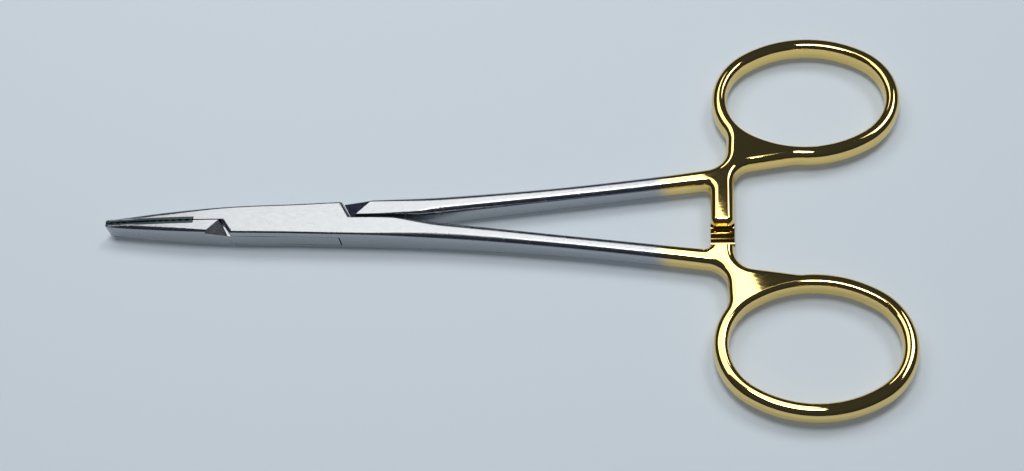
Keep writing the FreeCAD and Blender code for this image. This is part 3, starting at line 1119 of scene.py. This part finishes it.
@dataclass(frozen=True)
class Studio:
    """Floor, light and camera."""

    elevation: float = 58.0
    azimuth: float = 15.068
    roll: float = -13.608
    focal_pixels: float = 1573.2
    distance: float = 249.18
    target: tuple[float, float, float] = (36.68, -2.2, 2.1)
    sensor: float = 36.0
    nearest: float = 0.01
    floor_colour: tuple[float, float, float] = (0.62, 0.70, 0.77)
    floor_roughness: float = 0.9
    floor_size: float = 3.0
    floor_drop: float = 0.00002
    floor_glow: float = 0.14
    room_low: tuple[float, float, float] = (0.02, 0.025, 0.07)
    room_high: tuple[float, float, float] = (0.04, 0.045, 0.05)
    room_span: tuple[float, float] = (0.1, 0.8)
    panels: tuple[Panel, ...] = (
        Panel("softbox", (-0.1224, 0.2002, 0.41), (0.30, 0.28), 2.2, 22.0),
        Panel("strip", (0.0380, 0.2710, 0.41), (0.04, 0.28), 3.1, 22.0),
        Panel("key", (1.0, 1.0, 2.0), (0.8, 0.8), 6.0),
        Panel("spark", (0.06, 0.03, 0.5), (0.12, 0.12), 18.0, 0.0),
    )

    def floor(self) -> None:
        """Lay the pale floor just under the instrument."""
        mesh = bmesh.new()
        bmesh.ops.create_grid(mesh, x_segments=1, y_segments=1, size=self.floor_size / 2)
        floor = stored("floor", mesh)
        floor.data.transform(Matrix.Translation((0, 0, -self.floor_drop)))
        nodes = Nodes("floor")
        nodes.shader.inputs["Base Color"].default_value = (*self.floor_colour, 1.0)
        nodes.shader.inputs["Roughness"].default_value = self.floor_roughness
        path = nodes.add("ShaderNodeLightPath")
        seen = path.outputs["Is Camera Ray"]
        for ray in ("Is Glossy Ray", "Is Transmission Ray"):
            either = nodes.add("ShaderNodeMath", operation="MAXIMUM")
            nodes.link(seen, either.inputs[0])
            nodes.link(path.outputs[ray], either.inputs[1])
            seen = either.outputs["Value"]
        glow = nodes.add("ShaderNodeMath", operation="MULTIPLY")
        glow.inputs[1].default_value = self.floor_glow
        nodes.link(seen, glow.inputs[0])
        nodes.link(glow.outputs["Value"], nodes.shader.inputs["Emission Strength"])
        nodes.shader.inputs["Emission Color"].default_value = (*self.floor_colour, 1.0)
        floor.data.materials.append(nodes.material)

    def lights(self) -> None:
        """Hang the lights: a wide one behind, a strip at its end, one far off and one overhead."""
        for panel in self.panels:
            panel.hang()

    def world(self) -> None:
        """Put a dim blue-grey room round it, bluer low down."""
        world = bpy.data.worlds.new("room")
        bpy.context.scene.world = world
        world.use_nodes = True
        tree = world.node_tree
        background = tree.nodes["Background"]
        place = tree.nodes.new("ShaderNodeTexCoord")
        split = tree.nodes.new("ShaderNodeSeparateXYZ")
        ramp = tree.nodes.new("ShaderNodeValToRGB")
        stops = zip(ramp.color_ramp.elements, self.room_span, (self.room_low, self.room_high))
        for stop, position, colour in stops:
            stop.position = position
            stop.color = (*colour, 1)
        tree.links.new(place.outputs["Generated"], split.inputs["Vector"])
        tree.links.new(split.outputs["Z"], ramp.inputs["Fac"])
        tree.links.new(ramp.outputs["Color"], background.inputs["Color"])
        background.inputs["Strength"].default_value = 1.0

    def camera(self) -> None:
        """Look down at the instrument as the photograph does."""
        elevation, azimuth, roll = map(math.radians, (self.elevation, self.azimuth, self.roll))
        level = math.cos(elevation)
        back = Vector((math.sin(azimuth) * level, -math.cos(azimuth) * level, math.sin(elevation)))
        right = Vector((math.cos(azimuth), math.sin(azimuth), 0))
        up = back.cross(right)
        across = right * math.cos(roll) + up * math.sin(roll)
        over = up * math.cos(roll) - right * math.sin(roll)
        data = bpy.data.cameras.new("camera")
        data.sensor_width = self.sensor
        data.lens = self.focal_pixels * self.sensor / IMAGE_WIDTH
        data.clip_start = self.nearest
        camera = bpy.data.objects.new("camera", data)
        bpy.context.scene.collection.objects.link(camera)
        place = (Vector(self.target) + back * self.distance) * METRES
        turn = Matrix((across, over, back)).transposed().to_4x4()
        camera.matrix_world = Matrix.Translation(place) @ turn
        bpy.context.scene.camera = camera

    def build(self) -> None:
        """Set the whole studio up."""
        self.floor()
        self.lights()
        self.world()
        self.camera()
        bpy.context.scene.view_settings.view_transform = "Standard"


def dress(piece: bpy.types.Object, material: bpy.types.Material, slot: str) -> None:
    """Give a piece its finish.

    Args:
        piece: The piece.
        material: Its material, which takes the place of any other.
        slot: The record's material slot that it stands for.
    """
    piece.data.materials.clear()
    piece.data.materials.append(material)
    LOG.info("%s: %d faces, %s", piece.name, len(piece.data.polygons), slot)


def main() -> None:
    """Build and dress each piece, then set up the studio."""
    logging.basicConfig(level=logging.INFO, format="%(name)s %(message)s")
    steel = ForgedSteel().material()
    carbide = Carbide().material()
    halves = (
        BoxHalf("box_half_forged", "box_half", "box_side", Side.BOX, fork_reach=18.0, fork_inner=0.0),
        ThroughHalf(
            "through_half_forged", "through_half", "through_side", Side.THROUGH, fork_reach=22.0,
            fork_inner=0.6,
        ),
    )
    for half in halves:
        dress(half.build(), steel, "forged_steel")
    dress(LockPin().build(), steel, "pin_steel")
    for node in ("box_jaw_insert", "through_jaw_insert"):
        dress(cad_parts[node], carbide, "carbide")
    Studio().build()


if __name__ == "__main__":
    main()
